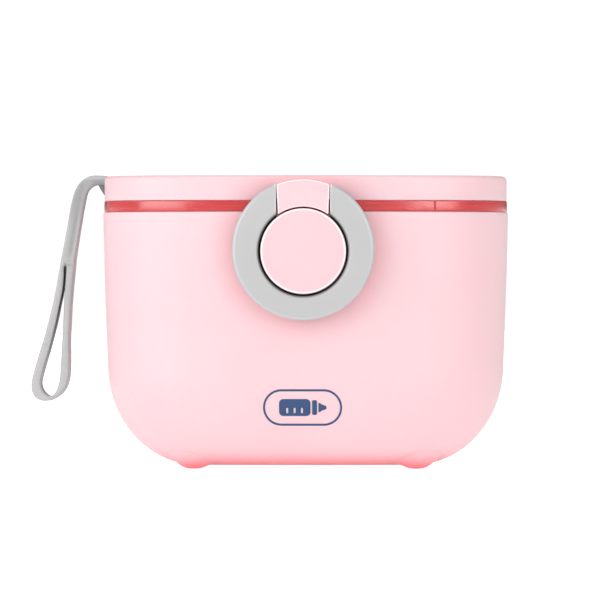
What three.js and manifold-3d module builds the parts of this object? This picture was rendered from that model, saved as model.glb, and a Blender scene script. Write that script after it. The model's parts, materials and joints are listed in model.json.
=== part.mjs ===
// Portable formula dispenser: a squircle tub with a hinged lid, a swinging ring latch over a round catch,
// a levelling frame with a seal in the tub's mouth, a scoop clipped under the lid and a carry strap.
// Millimetres, +Z up. The origin is the centre of the tub's flat underside, the front faces -Y,
// and the strap hangs on the -X side. Every piece is one closed solid in its own named mesh.
import * as THREE from "three";
import { mergeVertices } from "three/addons/utils/BufferGeometryUtils.js";
import Module from "manifold-3d";

const wasm = await Module();
wasm.setup();

// ---- driving dimensions ----
const HALF_X = 75; // tub outline at the rim
const HALF_Y = 52;
const SQUARENESS = 3.2; // superellipse exponent of every outline
const OUTLINE_STEPS = 64;
const CORE = 12; // inside this half depth an outline shrinks evenly to the axis
const GAP = 0.3; // between pieces that touch

const WALL = 2.4;
const TUB_TOP = 93.4;
const ROUND_X = 31; // the bottom edge is a quarter ellipse, this wide and this high
const ROUND_Z = 35;
const DRAFT = 3.2; // how far the walls lean in from rim to base
const DRAFT_POWER = 1.3;

const BAND_BOTTOM = TUB_TOP + GAP; // visible band of the levelling frame
const BAND_TOP = 97.2;
const BAND_INSET = 0.4;
const PLUG_BOTTOM = 85.5;
const MOUTH_INSET = 5.2; // inner face of the frame
const SKIRT_BOTTOM = BAND_TOP + GAP;
const SKIRT_INSET = 0.5;
const LID_WALL = 2;
const LID_TOP = 107;
const LID_EDGE = 2.2; // radius round the lid's top edge
const LID_CROWN = 0.3;

const HINGE_Y = 56.4;
const HINGE_Z = 97;
const KNUCKLE_R = 3.2;
const HINGE_PIN_R = 1.25;
const LID_KNUCKLE_X = 17.6;
const EAR_X = [18, 25];

const RING_Z = 79.56;
const RING_R = 26;
const RING_BACK_Y = -54.5;
const RING_THICK = 5;
const LATCH_PIN_Y = RING_BACK_Y - RING_THICK / 2;
const LATCH_PIN_Z = RING_Z + 19;
const LATCH_PIN_R = 1;
const LATCH_PIN_X = 14.2;
const LUG_TOP_X = 9.7; // half widths of the lug, which tapers downwards
const LUG_FOOT_X = 9.2;
const LUG_GAP = 0.6;

const CATCH_Z = 78.85;
const CATCH_R = 15.64;
const CATCH_EDGE_Y = -54.2;
const CATCH_DOME = 2.2;
const PAD_R = 13.5; // round landing on the tub wall behind the catch
const PAD_Y = -52.6;

const FOOT_X = 40.9;
const FOOT_Y = 19;
const FOOT_BOTTOM = -1.3;
const FOOT_R = 6.7;

const STRAP_WIDTH = 9;
const STRAP_PIVOT_X = -78.5;
const STRAP_PIVOT_Z = 105.25;
const STRAP_THICK = 3.3;

const SCOOP_X = -28; // bowl centre
const SCOOP_Y = 12;
const BOWL_R = 14;
const BOWL_DEPTH = 22;
const SCOOP_TOP = 94.8;
const HANDLE_END_X = 36;
const HANDLE_HALF = 4;
const HANDLE_THICK = 2.4;

// ---- materials ----
const finish = (color, roughness, metalness = 0) =>
  new THREE.MeshStandardMaterial({ color, roughness, metalness });
const pinkShell = finish(0xfbdce2, 0.45);
const greyPlastic = finish(0xcfcfcf, 0.55);
const greySilicone = finish(0xb4b4b4, 0.6);
const redClear = finish(0xd8504e, 0.12);
const whiteSilicone = finish(0xf2f0ee, 0.5);
const whitePlastic = finish(0xfaf4f4, 0.35);
const steel = finish(0xc8c8cc, 0.3, 1);

// ---- helpers ----
const mm = (x, y) => new THREE.Vector2(x, y);

// A closed geometry as a manifold solid with its faces out.
function solid(geometry) {
  const bare = geometry.index ? geometry.toNonIndexed() : geometry;
  const points = new THREE.BufferGeometry().setAttribute("position", bare.getAttribute("position"));
  const merged = mergeVertices(points, 1e-4);
  const corners = [];
  for (let i = 0; i < merged.index.count; i += 3) {
    const [a, b, c] = [0, 1, 2].map((k) => merged.index.getX(i + k));
    if (a !== b && b !== c && c !== a) corners.push(a, b, c);
  }
  const vertProperties = merged.attributes.position.array;
  const build = (list) =>
    new wasm.Manifold(new wasm.Mesh({ numProp: 3, vertProperties, triVerts: new Uint32Array(list) }));
  const made = build(corners);
  return made.volume() > 0 ? made : build(corners.toReversed());
}

function geometryOf(made) {
  const { numProp, vertProperties, triVerts } = made.getMesh();
  const positions = new Float32Array((vertProperties.length / numProp) * 3);
  for (let i = 0; i < positions.length / 3; i++)
    positions.set(vertProperties.subarray(i * numProp, i * numProp + 3), i * 3);
  return new THREE.BufferGeometry()
    .setAttribute("position", new THREE.BufferAttribute(positions, 3))
    .setIndex(new THREE.BufferAttribute(triVerts, 1));
}

const box = ([x0, x1], [y0, y1], [z0, z1]) =>
  solid(
    new THREE.BoxGeometry(x1 - x0, y1 - y0, z1 - z0)
      .translate((x0 + x1) / 2, (y0 + y1) / 2, (z0 + z1) / 2),
  );

// A rod along X from x0 to x1.
const rodX = (radius, [x0, x1], y, z, sides = 20) =>
  solid(
    new THREE.CylinderGeometry(radius, radius, x1 - x0, sides)
      .rotateZ(Math.PI / 2)
      .translate((x0 + x1) / 2, y, z),
  );

// A round solid on the vertical axis at x, y: profile points are (radius, z).
const turnedZ = (profile, x, y, sides = 32) =>
  solid(new THREE.LatheGeometry(profile, sides).rotateX(Math.PI / 2).translate(x, y, 0));

// A round solid facing the front: profile points are (radius, distance in front of y), centred at height z.
const turnedFront = (profile, y, z, sides) =>
  solid(new THREE.LatheGeometry(profile, sides).rotateX(Math.PI).translate(0, y, z));

// A shape drawn in X and Z, extruded from y0 towards the back to y1.
const slabXZ = (shape, y0, y1, curveSegments = 12) =>
  solid(
    new THREE.ExtrudeGeometry(shape, { depth: y1 - y0, bevelEnabled: false, curveSegments })
      .rotateX(Math.PI / 2)
      .translate(0, y1, 0),
  );

// A shape drawn in Y and Z, extruded along X.
const slabYZ = (shape, [x0, x1]) =>
  solid(
    new THREE.ExtrudeGeometry(shape, { depth: x1 - x0, bevelEnabled: false })
      .rotateX(Math.PI / 2)
      .rotateZ(Math.PI / 2)
      .translate(x0, 0, 0),
  );

// A profile carried round the superellipse outline. Points are (inset from the tub's rim outline, z),
// and ON_AXIS as inset stands for the centre line.
const ON_AXIS = HALF_Y;
function squircle(profile) {
  const lathe = new THREE.LatheGeometry(
    profile.map(({ x, y }) => mm(HALF_Y - x, y)),
    OUTLINE_STEPS,
  ).rotateX(Math.PI / 2);
  const position = lathe.getAttribute("position");
  const bend = (v) => Math.sign(v) * Math.abs(v) ** (2 / SQUARENESS);
  for (let i = 0; i < position.count; i++) {
    const [x, y] = [position.getX(i), position.getY(i)];
    const halfDepth = Math.hypot(x, y);
    const shrink = Math.min(1, halfDepth / CORE);
    const b = Math.max(halfDepth, CORE);
    const angle = halfDepth < 1e-6 ? 0 : Math.atan2(y, x);
    const snap = (v) => (Math.abs(v) < 1e-9 ? 0 : v);
    position.setX(i, shrink * (HALF_X - HALF_Y + b) * bend(snap(Math.cos(angle))));
    position.setY(i, shrink * b * bend(snap(Math.sin(angle))));
  }
  return solid(lathe);
}

// ---- tub ----
const lean = (z) => DRAFT * ((TUB_TOP - z) / TUB_TOP) ** DRAFT_POWER;

// The tub's skin from the base centre to the height top, moved outwards by offset.
function tubSkin(offset, top) {
  const steps = 9;
  const points = [mm(ON_AXIS, -offset)];
  for (let i = 0; i <= steps; i++) {
    const t = ((i / steps) * Math.PI) / 2;
    const normal = mm(Math.sin(t) / ROUND_X, -Math.cos(t) / ROUND_Z).normalize();
    const z = ROUND_Z * (1 - Math.cos(t));
    const inset = lean(z) + ROUND_X * (1 - Math.sin(t));
    points.push(mm(inset - offset * normal.x, z + offset * normal.y));
  }
  for (const z of [52, 72, top]) points.push(mm(lean(Math.min(z, TUB_TOP)) - offset, z));
  return points;
}

const footPlaces = [
  ["foot_front_left", -FOOT_X, -FOOT_Y],
  ["foot_front_right", FOOT_X, -FOOT_Y],
  ["foot_rear_left", -FOOT_X, FOOT_Y],
  ["foot_rear_right", FOOT_X, FOOT_Y],
];
const SOCKET_R = 4.6;
const SOCKET_TOP = 3;

function tubEar([x0, x1]) {
  const web = new THREE.Shape([
    mm(50.6, 81), mm(51.9, 81), mm(59.3, 95.6), mm(53.6, 95.6), mm(53.2, 93.2), mm(50.6, 93.2),
  ]);
  return slabYZ(web, [x0, x1]).add(rodX(KNUCKLE_R, [x0, x1], HINGE_Y, HINGE_Z));
}

function makeTub() {
  const shell = squircle([...tubSkin(0, TUB_TOP), ...tubSkin(-WALL, TUB_TOP).reverse()]);
  const pad = turnedFront([mm(0, 0), mm(PAD_R, 0), mm(PAD_R, 2), mm(0, 2)], PAD_Y + 2, CATCH_Z, 40);
  const peg = turnedFront([mm(0, 0), mm(4.3, 0), mm(4.3, 4), mm(0, 4)], PAD_Y + 2, CATCH_Z, 24);
  let tub = shell.add(pad).subtract(peg);
  for (const side of [-1, 1]) {
    const span = EAR_X.map((x) => side * x).sort((a, b) => a - b);
    tub = tub.add(tubEar(span));
  }
  tub = tub.subtract(rodX(HINGE_PIN_R + GAP, [-30, 30], HINGE_Y, HINGE_Z));
  for (const [, x, y] of footPlaces) {
    const socket = [mm(0, -3), mm(SOCKET_R, -3), mm(SOCKET_R, SOCKET_TOP), mm(0, SOCKET_TOP)];
    tub = tub.subtract(turnedZ(socket, x, y));
  }
  return tub;
}

// Round pad with a domed rim that follows the tub's skin and plugs into its socket.
function makeFoot(x, y) {
  const dome = turnedZ(
    [mm(0, FOOT_BOTTOM), mm(3.6, FOOT_BOTTOM), mm(5.2, -0.9), mm(6.3, 0), mm(FOOT_R, 1.4),
      mm(FOOT_R, 7), mm(0, 7)],
    x,
    y,
  );
  const skin = squircle([...tubSkin(GAP, 40), mm(ON_AXIS, 40)]);
  const plugR = SOCKET_R - GAP;
  const plugTop = SOCKET_TOP - GAP;
  const plug = turnedZ([mm(0, -0.5), mm(plugR, -0.5), mm(plugR, plugTop), mm(0, plugTop)], x, y);
  return dome.subtract(skin).add(plug);
}

// ---- catch boss: domed disc with a rim that stands clear of the wall all round ----
function makeCatch() {
  const back = PAD_Y - GAP;
  const edge = back - CATCH_EDGE_Y;
  const dome = [1, 0.94, 0.8, 0.6, 0.4, 0.2, 0].map((k) =>
    mm(CATCH_R * k, edge + CATCH_DOME * (1 - k * k)),
  );
  dome[0] = mm(CATCH_R, edge - 0.2);
  return turnedFront(
    [mm(0, -1.9), mm(4, -1.9), mm(4, 0), mm(CATCH_R - 0.3, 0), mm(CATCH_R, 0.3), ...dome],
    back,
    CATCH_Z,
    56,
  );
}

// ---- levelling frame ----
const SEAL_Z = [88.3, 90.3];

function makeLevellerFrame() {
  const frame = squircle([
    mm(MOUTH_INSET, PLUG_BOTTOM), mm(3.6, PLUG_BOTTOM), mm(3.6, SEAL_Z[0] - GAP),
    mm(4.4, SEAL_Z[0] - GAP), mm(4.4, SEAL_Z[1] + GAP), mm(3.6, SEAL_Z[1] + GAP),
    mm(3.6, BAND_BOTTOM), mm(0.9, BAND_BOTTOM), mm(BAND_INSET, 94.3), mm(BAND_INSET, 96.6),
    mm(0.9, BAND_TOP), mm(MOUTH_INSET, BAND_TOP), mm(MOUTH_INSET, PLUG_BOTTOM),
  ]);
  const blade = new THREE.Shape([mm(41, 91.5), mm(41.8, 91.5), mm(49, 90.2), mm(49, 88), mm(43, 88)]);
  const reach = squircle([mm(ON_AXIS, 80), mm(4.7, 80), mm(4.7, 100), mm(ON_AXIS, 100)]);
  return frame.add(slabXZ(blade, -50, 50).intersect(reach));
}

const makeFrameSeal = () =>
  squircle([
    mm(4.1, SEAL_Z[0]), mm(3.1, SEAL_Z[0]), mm(2.7, 88.9), mm(2.7, 89.7), mm(3.1, SEAL_Z[1]),
    mm(4.1, SEAL_Z[1]), mm(4.1, SEAL_Z[0]),
  ]);

// ---- lid ----
const LINER_Z = [99, 100.8]; // underside and top of the liner's plate
const lugShape = (grow) => {
  const shape = new THREE.Shape();
  const foot = CATCH_R + LUG_GAP - grow;
  const top = RING_R - 0.5 + grow;
  const footAngle = Math.asin((LUG_FOOT_X + grow) / foot);
  const topAngle = Math.asin((LUG_TOP_X + grow) / top);
  shape.absarc(0, CATCH_Z, foot, Math.PI / 2 + footAngle, Math.PI / 2 - footAngle, true);
  shape.absarc(0, RING_Z, top, Math.PI / 2 - topAngle, Math.PI / 2 + topAngle, false);
  return shape;
};

function makeLidShell() {
  const edge = [];
  for (let i = 0; i <= 4; i++) {
    const t = ((i / 4) * Math.PI) / 2;
    edge.push(
      mm(
        SKIRT_INSET + LID_EDGE * (1 - Math.sin(t)),
        LID_TOP - LID_CROWN - LID_EDGE * (1 - Math.cos(t)),
      ),
    );
  }
  const inside = SKIRT_INSET + LID_WALL;
  const ceiling = LID_TOP - LID_CROWN - LID_WALL;
  const shell = squircle([
    mm(ON_AXIS, LID_TOP), mm(26, LID_TOP - 0.1), ...edge, mm(SKIRT_INSET, SKIRT_BOTTOM),
    mm(inside, SKIRT_BOTTOM), mm(inside, ceiling - 0.7), mm(inside + 0.7, ceiling),
    mm(ON_AXIS, ceiling + 0.2),
  ]);
  const front = RING_BACK_Y - RING_THICK + 0.2;
  const hanging = slabXZ(lugShape(0), front, -53);
  const aboveSkirt = box([-20, 20], [-54, -50.4], [SKIRT_BOTTOM, 110]);
  const root = slabXZ(lugShape(0), -54, -50.4).intersect(aboveSkirt);
  const barrel = rodX(KNUCKLE_R, [-LID_KNUCKLE_X, LID_KNUCKLE_X], HINGE_Y, HINGE_Z);
  const web = box([-LID_KNUCKLE_X, LID_KNUCKLE_X], [50, HINGE_Y], [HINGE_Z + 0.9, HINGE_Z + KNUCKLE_R]);
  return shell
    .add(hanging)
    .add(root)
    .add(barrel)
    .add(web)
    .subtract(rodX(HINGE_PIN_R + GAP, [-30, 30], HINGE_Y, HINGE_Z))
    .subtract(rodX(LATCH_PIN_R + GAP, [-15, 15], LATCH_PIN_Y, LATCH_PIN_Z))
    .subtract(box([-80, -70], [-4.1, 4.1], [101.1, 104.3]));
}

// Plate with a plug wall that sits inside the frame, and two clips for the scoop's handle.
function makeLidLiner() {
  let liner = squircle([
    mm(ON_AXIS, LINER_Z[0]), mm(7.2, LINER_Z[0]), mm(7.2, 92), mm(5.6, 92), mm(5.6, LINER_Z[0]),
    mm(2.9, LINER_Z[0]), mm(2.9, LINER_Z[1]), mm(ON_AXIS, LINER_Z[1]),
  ]);
  const armThick = 1.6;
  for (const x of [-6, 24])
    for (const side of [-1, 1]) {
      const inner = SCOOP_Y + side * (HANDLE_HALF + GAP);
      const outer = inner + side * armThick;
      const span = [Math.min(inner, outer), Math.max(inner, outer)];
      liner = liner.add(box([x, x + 6], span, [92.6, LINER_Z[0] + 0.5]));
    }
  return liner;
}

const makeLidGasket = () =>
  squircle([
    mm(5, SKIRT_BOTTOM), mm(3.1, SKIRT_BOTTOM), mm(3.1, LINER_Z[0] - GAP),
    mm(5, LINER_Z[0] - GAP), mm(5, SKIRT_BOTTOM),
  ]);

// ---- ring latch: an open ring on a pin through the lug, bevelled towards the catch ----
function makeLatchRing() {
  const ring = turnedFront(
    [
      mm(16.1, 0.4), mm(16.5, 0), mm(25, 0), mm(RING_R, 1), mm(RING_R, 3.8), mm(25.6, 4.5),
      mm(24.8, 4.85), mm(22.5, RING_THICK), mm(20.2, 4.85), mm(18.6, 4.2), mm(17.3, 3.1),
      mm(16.5, 1.9), mm(16.1, 1), mm(16.1, 0.4),
    ],
    RING_BACK_Y,
    RING_Z,
    64,
  );
  const half = (x) => x + LUG_GAP;
  const opening = new THREE.Shape([
    mm(-half(LUG_FOOT_X), 88), mm(half(LUG_FOOT_X), 88), mm(half(LUG_TOP_X), 110), mm(-half(LUG_TOP_X), 110),
  ]);
  const hole = LATCH_PIN_R + GAP;
  const reach = LATCH_PIN_X + GAP;
  return ring
    .subtract(slabXZ(opening, -70, -50))
    .subtract(rodX(hole, [-reach, reach], LATCH_PIN_Y, LATCH_PIN_Z));
}

// ---- carry strap: a flat band with a long eye, and the plug that holds it in the lid's wall ----
function makeCarryStrap() {
  const half = STRAP_THICK / 2;
  const outline = new THREE.Shape();
  outline.absarc(STRAP_PIVOT_X, STRAP_PIVOT_Z, half, -Math.PI / 2, Math.PI / 2, false);
  outline.splineThru([
    mm(-82, 106.3), mm(-85.3, 103.2), mm(-87, 97), mm(-89.6, 83), mm(-92.8, 65.5), mm(-96.4, 50),
    mm(-100.4, 37), mm(-102.1, 29.8), mm(-100.3, 25.6), mm(-96, 23.9), mm(-91, 25.8),
    mm(-88, 31), mm(-87.3, 45), mm(-86.9, 60), mm(-85.2, 78), mm(-83.2, 92), mm(-81.7, 100),
    mm(-80.3, 103), mm(STRAP_PIVOT_X, STRAP_PIVOT_Z - half),
  ]);
  const eye = new THREE.Path();
  eye.moveTo(-88.7, 73);
  eye.splineThru([
    mm(-89.6, 60), mm(-90.2, 46), mm(-91.3, 32), mm(-92.6, 28.2), mm(-95.2, 26.9), mm(-97.7, 28.2),
    mm(-98.4, 31.5), mm(-96.2, 40), mm(-92.6, 54), mm(-88.7, 73),
  ]);
  outline.holes.push(eye);
  return slabXZ(outline, -STRAP_WIDTH / 2, STRAP_WIDTH / 2, 3);
}

function makeStrapAnchor() {
  const wallX = -HALF_X + SKIRT_INSET - GAP;
  const flange = new THREE.Shape([
    mm(wallX, 99), mm(wallX, 106.7), mm(-76.5, 106.9), mm(-76.5, 102),
  ]);
  const neck = box([-76, -70.5], [-3.8, 3.8], [101.4, 103.8]);
  const head = box([-72.1, -70], [-6, 6], [101.1, 103.8]);
  return slabXZ(flange, -STRAP_WIDTH / 2, STRAP_WIDTH / 2).add(neck).add(head);
}

// ---- scoop ----
function makeScoop() {
  const bottom = SCOOP_TOP - BOWL_DEPTH;
  const wall = 1.3;
  const cup = turnedZ(
    [mm(0, bottom), mm(BOWL_R - 4, bottom), mm(BOWL_R - 2, bottom + 1.4), mm(BOWL_R, SCOOP_TOP),
      mm(0, SCOOP_TOP)],
    SCOOP_X,
    SCOOP_Y,
    40,
  );
  const hollow = turnedZ(
    [mm(0, bottom + wall), mm(BOWL_R - 4.6, bottom + wall), mm(BOWL_R - 3.2, bottom + 2.6),
      mm(BOWL_R - wall, SCOOP_TOP + 1), mm(0, SCOOP_TOP + 1)],
    SCOOP_X,
    SCOOP_Y,
    40,
  );
  const handle = new THREE.Shape();
  handle.moveTo(SCOOP_X, SCOOP_Y - HANDLE_HALF);
  handle.absarc(HANDLE_END_X - HANDLE_HALF, SCOOP_Y, HANDLE_HALF, -Math.PI / 2, Math.PI / 2, false);
  handle.lineTo(SCOOP_X, SCOOP_Y + HANDLE_HALF);
  const bar = solid(
    new THREE.ExtrudeGeometry(handle, { depth: HANDLE_THICK, bevelEnabled: false, curveSegments: 10 })
      .translate(0, 0, SCOOP_TOP - HANDLE_THICK),
  );
  return cup.add(bar).subtract(hollow);
}

// ---- assembly ----
const part = new THREE.Group();
function place(name, made, material) {
  const mesh = new THREE.Mesh(geometryOf(made), material);
  mesh.name = name;
  part.add(mesh);
}

place("tub", makeTub(), pinkShell);
for (const [name, x, y] of footPlaces) place(name, makeFoot(x, y), pinkShell);
place("catch_boss", makeCatch(), pinkShell);
place("leveller_frame", makeLevellerFrame(), redClear);
place("frame_seal", makeFrameSeal(), whiteSilicone);
place("hinge_pin", rodX(HINGE_PIN_R, [-EAR_X[1], EAR_X[1]], HINGE_Y, HINGE_Z), steel);
place("lid_shell", makeLidShell(), pinkShell);
place("lid_liner", makeLidLiner(), whitePlastic);
place("lid_gasket", makeLidGasket(), whiteSilicone);
place("latch_ring", makeLatchRing(), greyPlastic);
place("latch_pin", rodX(LATCH_PIN_R, [-LATCH_PIN_X, LATCH_PIN_X], LATCH_PIN_Y, LATCH_PIN_Z), steel);
place("strap_anchor", makeStrapAnchor(), greySilicone);
place("carry_strap", makeCarryStrap(), greySilicone);
place("scoop", makeScoop(), whitePlastic);

export default part;
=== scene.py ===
"""Looks for the formula dispenser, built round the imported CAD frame.

Lengths in this file are millimetres until a mesh is made. An outline is a superellipse, and a wall's
profile is a list of (inset from the tub's rim outline, height) points, as in the CAD source.
"""

import json
import math

import bmesh
import bpy
import numpy as np
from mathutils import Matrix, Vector


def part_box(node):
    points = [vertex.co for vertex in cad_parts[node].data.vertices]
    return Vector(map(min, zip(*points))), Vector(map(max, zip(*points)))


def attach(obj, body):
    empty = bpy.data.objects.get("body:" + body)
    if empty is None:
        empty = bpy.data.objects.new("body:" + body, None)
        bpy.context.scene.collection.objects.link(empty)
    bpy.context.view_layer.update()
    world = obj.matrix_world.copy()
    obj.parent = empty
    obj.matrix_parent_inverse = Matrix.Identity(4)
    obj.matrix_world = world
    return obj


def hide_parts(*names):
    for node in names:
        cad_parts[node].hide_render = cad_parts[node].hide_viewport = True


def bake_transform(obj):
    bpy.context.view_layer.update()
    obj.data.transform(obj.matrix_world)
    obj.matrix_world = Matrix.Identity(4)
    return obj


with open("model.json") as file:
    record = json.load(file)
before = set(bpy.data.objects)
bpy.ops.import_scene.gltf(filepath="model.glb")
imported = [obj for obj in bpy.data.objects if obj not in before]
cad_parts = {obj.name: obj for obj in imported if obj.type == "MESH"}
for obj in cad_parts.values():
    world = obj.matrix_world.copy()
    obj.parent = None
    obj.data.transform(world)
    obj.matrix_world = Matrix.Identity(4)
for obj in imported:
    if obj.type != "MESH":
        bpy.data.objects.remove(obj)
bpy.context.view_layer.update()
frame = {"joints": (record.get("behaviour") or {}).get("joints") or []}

MM = 0.001
scene = bpy.context.scene


def span(node):
    """Lowest and highest corner of a CAD node, in millimetres."""
    low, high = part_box(node)
    return np.array(low) / MM, np.array(high) / MM


def joint_place(name):
    """A hinge's place, in millimetres."""
    return next(np.array(j["pos_m"]) / MM for j in frame["joints"] if j["name"] == name)


# ---- sizes, from the frame where it has them ----
GAP = 0.3
SQUARENESS = 3.2
# Nearer the middle than this half depth, outlines shrink in place of moving in.
CORE = 12
STEPS = 256
SHARP_ANGLE = 35

band_low, band_high = span("leveller_frame")
BAND_INSET = 0.4
BAND_HEIGHT = 3.5
HALF_X = band_high[0] + BAND_INSET
HALF_Y = band_high[1] + BAND_INSET
BAND_TOP = band_high[2]
BAND_BOTTOM = BAND_TOP - BAND_HEIGHT
MOUTH_INSET = 5.2
BLADE_X = (41, 49)
GROOVE_X = 48.1

WALL = 2.4
TUB_TOP = BAND_BOTTOM - GAP
ROUND_X = 31
ROUND_Z = 35
DRAFT = 3.2
DRAFT_POWER = 1.3
RIM_ROUND = 0.6

SKIRT_BOTTOM = span("lid_gasket")[0][2]
SKIRT_INSET = 0.5
LID_WALL = 2
LID_TOP = span("lid_shell")[1][2]
LID_EDGE = 1.6
LID_CROWN = 0.3

HINGE_Y, HINGE_Z = joint_place("lid_hinge")[1:]
KNUCKLE_R = 3.2
HINGE_PIN_R = 1.25
LID_KNUCKLE_X = 17.6
EAR_X = (18, span("hinge_pin")[1][0])

RING_R = span("latch_ring")[1][0]
RING_Z = span("latch_ring")[0][2] + RING_R
RING_FRONT_Y, RING_BACK_Y = span("latch_ring")[0][1], span("latch_ring")[1][1]
LATCH_PIN_Y, LATCH_PIN_Z = joint_place("latch_pivot")[1:]
LATCH_PIN_R = 1
LUG_TOP_X = 9.7
LUG_FOOT_X = 9.2
LUG_GAP = 0.6
LUG_BACK_Y = -53
LUG_ROOT_Y = (-54, -50.6)

CATCH_R = span("catch_boss")[1][0]
CATCH_Z = (span("catch_boss")[0][2] + span("catch_boss")[1][2]) / 2
BORE_R = CATCH_R + 0.65
PAD_R = 13.5
PAD_Y = -52.6

FLOOR_Z = span("foot_front_left")[0][2]

STRAP_WIDTH = span("carry_strap")[1][1] * 2
# The strap's eye is turned this many degrees about an upright line at this x.
STRAP_TURN = 2.7
STRAP_TURN_X = -88.6
# The top of the slit between the eye's two strands, as x, z.
SLIT_TOP = (-88.8, 74.2)


# ---- mesh helpers ----
def superellipse(half_x, half_y, angles):
    """The x and y of a superellipse at these angles."""

    def bend(v):
        return np.sign(v) * np.abs(v) ** (2 / SQUARENESS)

    return half_x * bend(np.cos(angles)), half_y * bend(np.sin(angles))


def even_angles(count):
    """Angles whose points lie evenly along the rim's outline."""
    fine = np.linspace(0, 2 * math.pi, 14401)
    x, y = superellipse(HALF_X, HALF_Y, fine)
    length = np.concatenate([[0], np.cumsum(np.hypot(np.diff(x), np.diff(y)))])
    return np.interp(np.linspace(0, length[-1], count, endpoint=False), length, fine)


ANGLES = even_angles(STEPS)


def outline(inset, z):
    """The outline at this inset and height, as one ring of points."""
    half_depth = HALF_Y - inset
    half_y = max(half_depth, CORE)
    x, y = superellipse(HALF_X - HALF_Y + half_y, half_y, ANGLES)
    shrink = min(1, half_depth / CORE)
    return np.stack([shrink * x, shrink * y, np.full(STEPS, float(z))], 1)


def arc(centre, radius, start, end, steps):
    """Points on a circle about a 2D centre, from start to end degrees."""
    turn = np.radians(np.linspace(start, end, steps + 1))
    return [(centre[0] + radius * math.cos(a), centre[1] + radius * math.sin(a)) for a in turn]


def smooth_line(points, per):
    """A Catmull-Rom curve through the points, with this many steps between each two."""
    p = np.array(points, float)
    last = len(p) - 1
    made = []
    for i in range(last):
        a, b, c, d = p[max(i - 1, 0)], p[i], p[i + 1], p[min(i + 2, last)]
        square = 2 * a - 5 * b + 4 * c - d
        cube = 3 * b - a - 3 * c + d
        for t in np.arange(per) / per:
            made.append(0.5 * (2 * b + (c - a) * t + square * t**2 + cube * t**3))
    made.append(p[-1])
    return np.array(made)


def loft(rings, closed=False):
    """Vertices and faces through rings of equally many points.

    An open loft is capped with a fan at each end.
    """
    rings = np.array(rings)
    count, size = rings.shape[:2]
    verts = rings.reshape(-1, 3)
    faces = []
    for i in range(count if closed else count - 1):
        a, b = i * size, (i + 1) % count * size
        faces += [(a + j, a + (j + 1) % size, b + (j + 1) % size, b + j) for j in range(size)]
    if not closed:
        for k, start in ((count * size, 0), (count * size + 1, (count - 1) * size)):
            faces += [(k, start + (j + 1) % size, start + j) for j in range(size)]
        verts = np.vstack([verts, rings[0].mean(0), rings[-1].mean(0)])
    return verts, faces


def tidy_mesh(mesh, angle=SHARP_ANGLE):
    """Faces out, smooth shading, and sharp edges where faces meet at more than this angle."""
    work = bmesh.new()
    work.from_mesh(mesh)
    bmesh.ops.remove_doubles(work, verts=work.verts, dist=1e-7)
    bmesh.ops.recalc_face_normals(work, faces=work.faces)
    work.to_mesh(mesh)
    work.free()
    mesh.shade_smooth()
    mesh.set_sharp_from_angle(angle=math.radians(angle))


def piece(name, verts, faces, angle=SHARP_ANGLE):
    """An object made from vertices in millimetres and their faces."""
    mesh = bpy.data.meshes.new(name)
    mesh.from_pydata((np.array(verts) * MM).tolist(), [], faces)
    tidy_mesh(mesh, angle)
    made = bpy.data.objects.new(name, mesh)
    scene.collection.objects.link(made)
    return made


def apply_modifier(obj, kind, **settings):
    """Puts a modifier's result in place of the object's mesh."""
    modifier = obj.modifiers.new(kind.lower(), kind)
    for key, value in settings.items():
        setattr(modifier, key, value)
    evaluated = obj.evaluated_get(bpy.context.evaluated_depsgraph_get())
    made = bpy.data.meshes.new_from_object(evaluated)
    obj.modifiers.clear()
    old = obj.data
    obj.data = made
    bpy.data.meshes.remove(old)


def boolean(obj, tool, operation):
    """Joins, cuts or intersects the object with a tool, which is used up."""
    apply_modifier(obj, "BOOLEAN", operation=operation, object=tool, solver="EXACT")
    bpy.data.objects.remove(tool)
    tidy_mesh(obj.data)
    return obj


def bevel(obj, width, segments=3, corner=40, **settings):
    """Rounds the edges where faces meet at more than the corner angle."""
    limit = {"limit_method": "ANGLE", "angle_limit": math.radians(corner)}
    apply_modifier(obj, "BEVEL", width=width * MM, segments=segments, **limit, **settings)
    tidy_mesh(obj.data)
    return obj


def wall_piece(name, profile, closed=True):
    """A profile carried round the outline."""
    return piece(name, *loft([outline(inset, z) for inset, z in profile], closed))


def turned(name, profile, centre, axis, steps=96, angle=SHARP_ANGLE):
    """A profile of (radius, distance) turned about an axis, x, y or z, through the centre."""
    turn = np.linspace(0, 2 * math.pi, steps, endpoint=False)
    along = "xyz".index(axis)
    across = [k for k in range(3) if k != along]
    rings = []
    for radius, distance in profile:
        ring = np.zeros((steps, 3))
        ring[:, across[0]] = radius * np.cos(turn)
        ring[:, across[1]] = radius * np.sin(turn)
        ring[:, along] = distance
        rings.append(ring + centre)
    return piece(name, *loft(rings), angle)


def slab(name, shape, plane, low, high, rounding):
    """A 2D shape extruded from low to high across its plane, xz or yz or xy, with rounded edges."""
    axes = ["xyz".index(c) for c in plane]
    along = ({0, 1, 2} - set(axes)).pop()
    count = len(shape)
    verts = np.zeros((count * 2, 3))
    for k, level in enumerate((low, high)):
        verts[k * count : (k + 1) * count, axes] = shape
        verts[k * count : (k + 1) * count, along] = level
    faces = [tuple(range(count)), tuple(range(count, 2 * count))]
    faces += [(i, (i + 1) % count, count + (i + 1) % count, count + i) for i in range(count)]
    made = piece(name, verts, faces)
    return bevel(made, rounding) if rounding else made


def rod(name, radius, low, high, y, z, chamfer=0.25):
    """A round pin along X with rounded ends."""
    ends = [(0.05, low), (radius - chamfer, low), (radius - chamfer * 0.3, low + chamfer * 0.3)]
    profile = [*ends, (radius, low + chamfer), (radius, high - chamfer)]
    profile += [(r, low + high - x) for r, x in reversed(ends)]
    return turned(name, profile, (0, y, z), "x", 48)


# ---- the tub's skin ----
def lean(z):
    """How far the wall has drawn in at a height."""
    return DRAFT * ((TUB_TOP - z) / TUB_TOP) ** DRAFT_POWER


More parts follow.
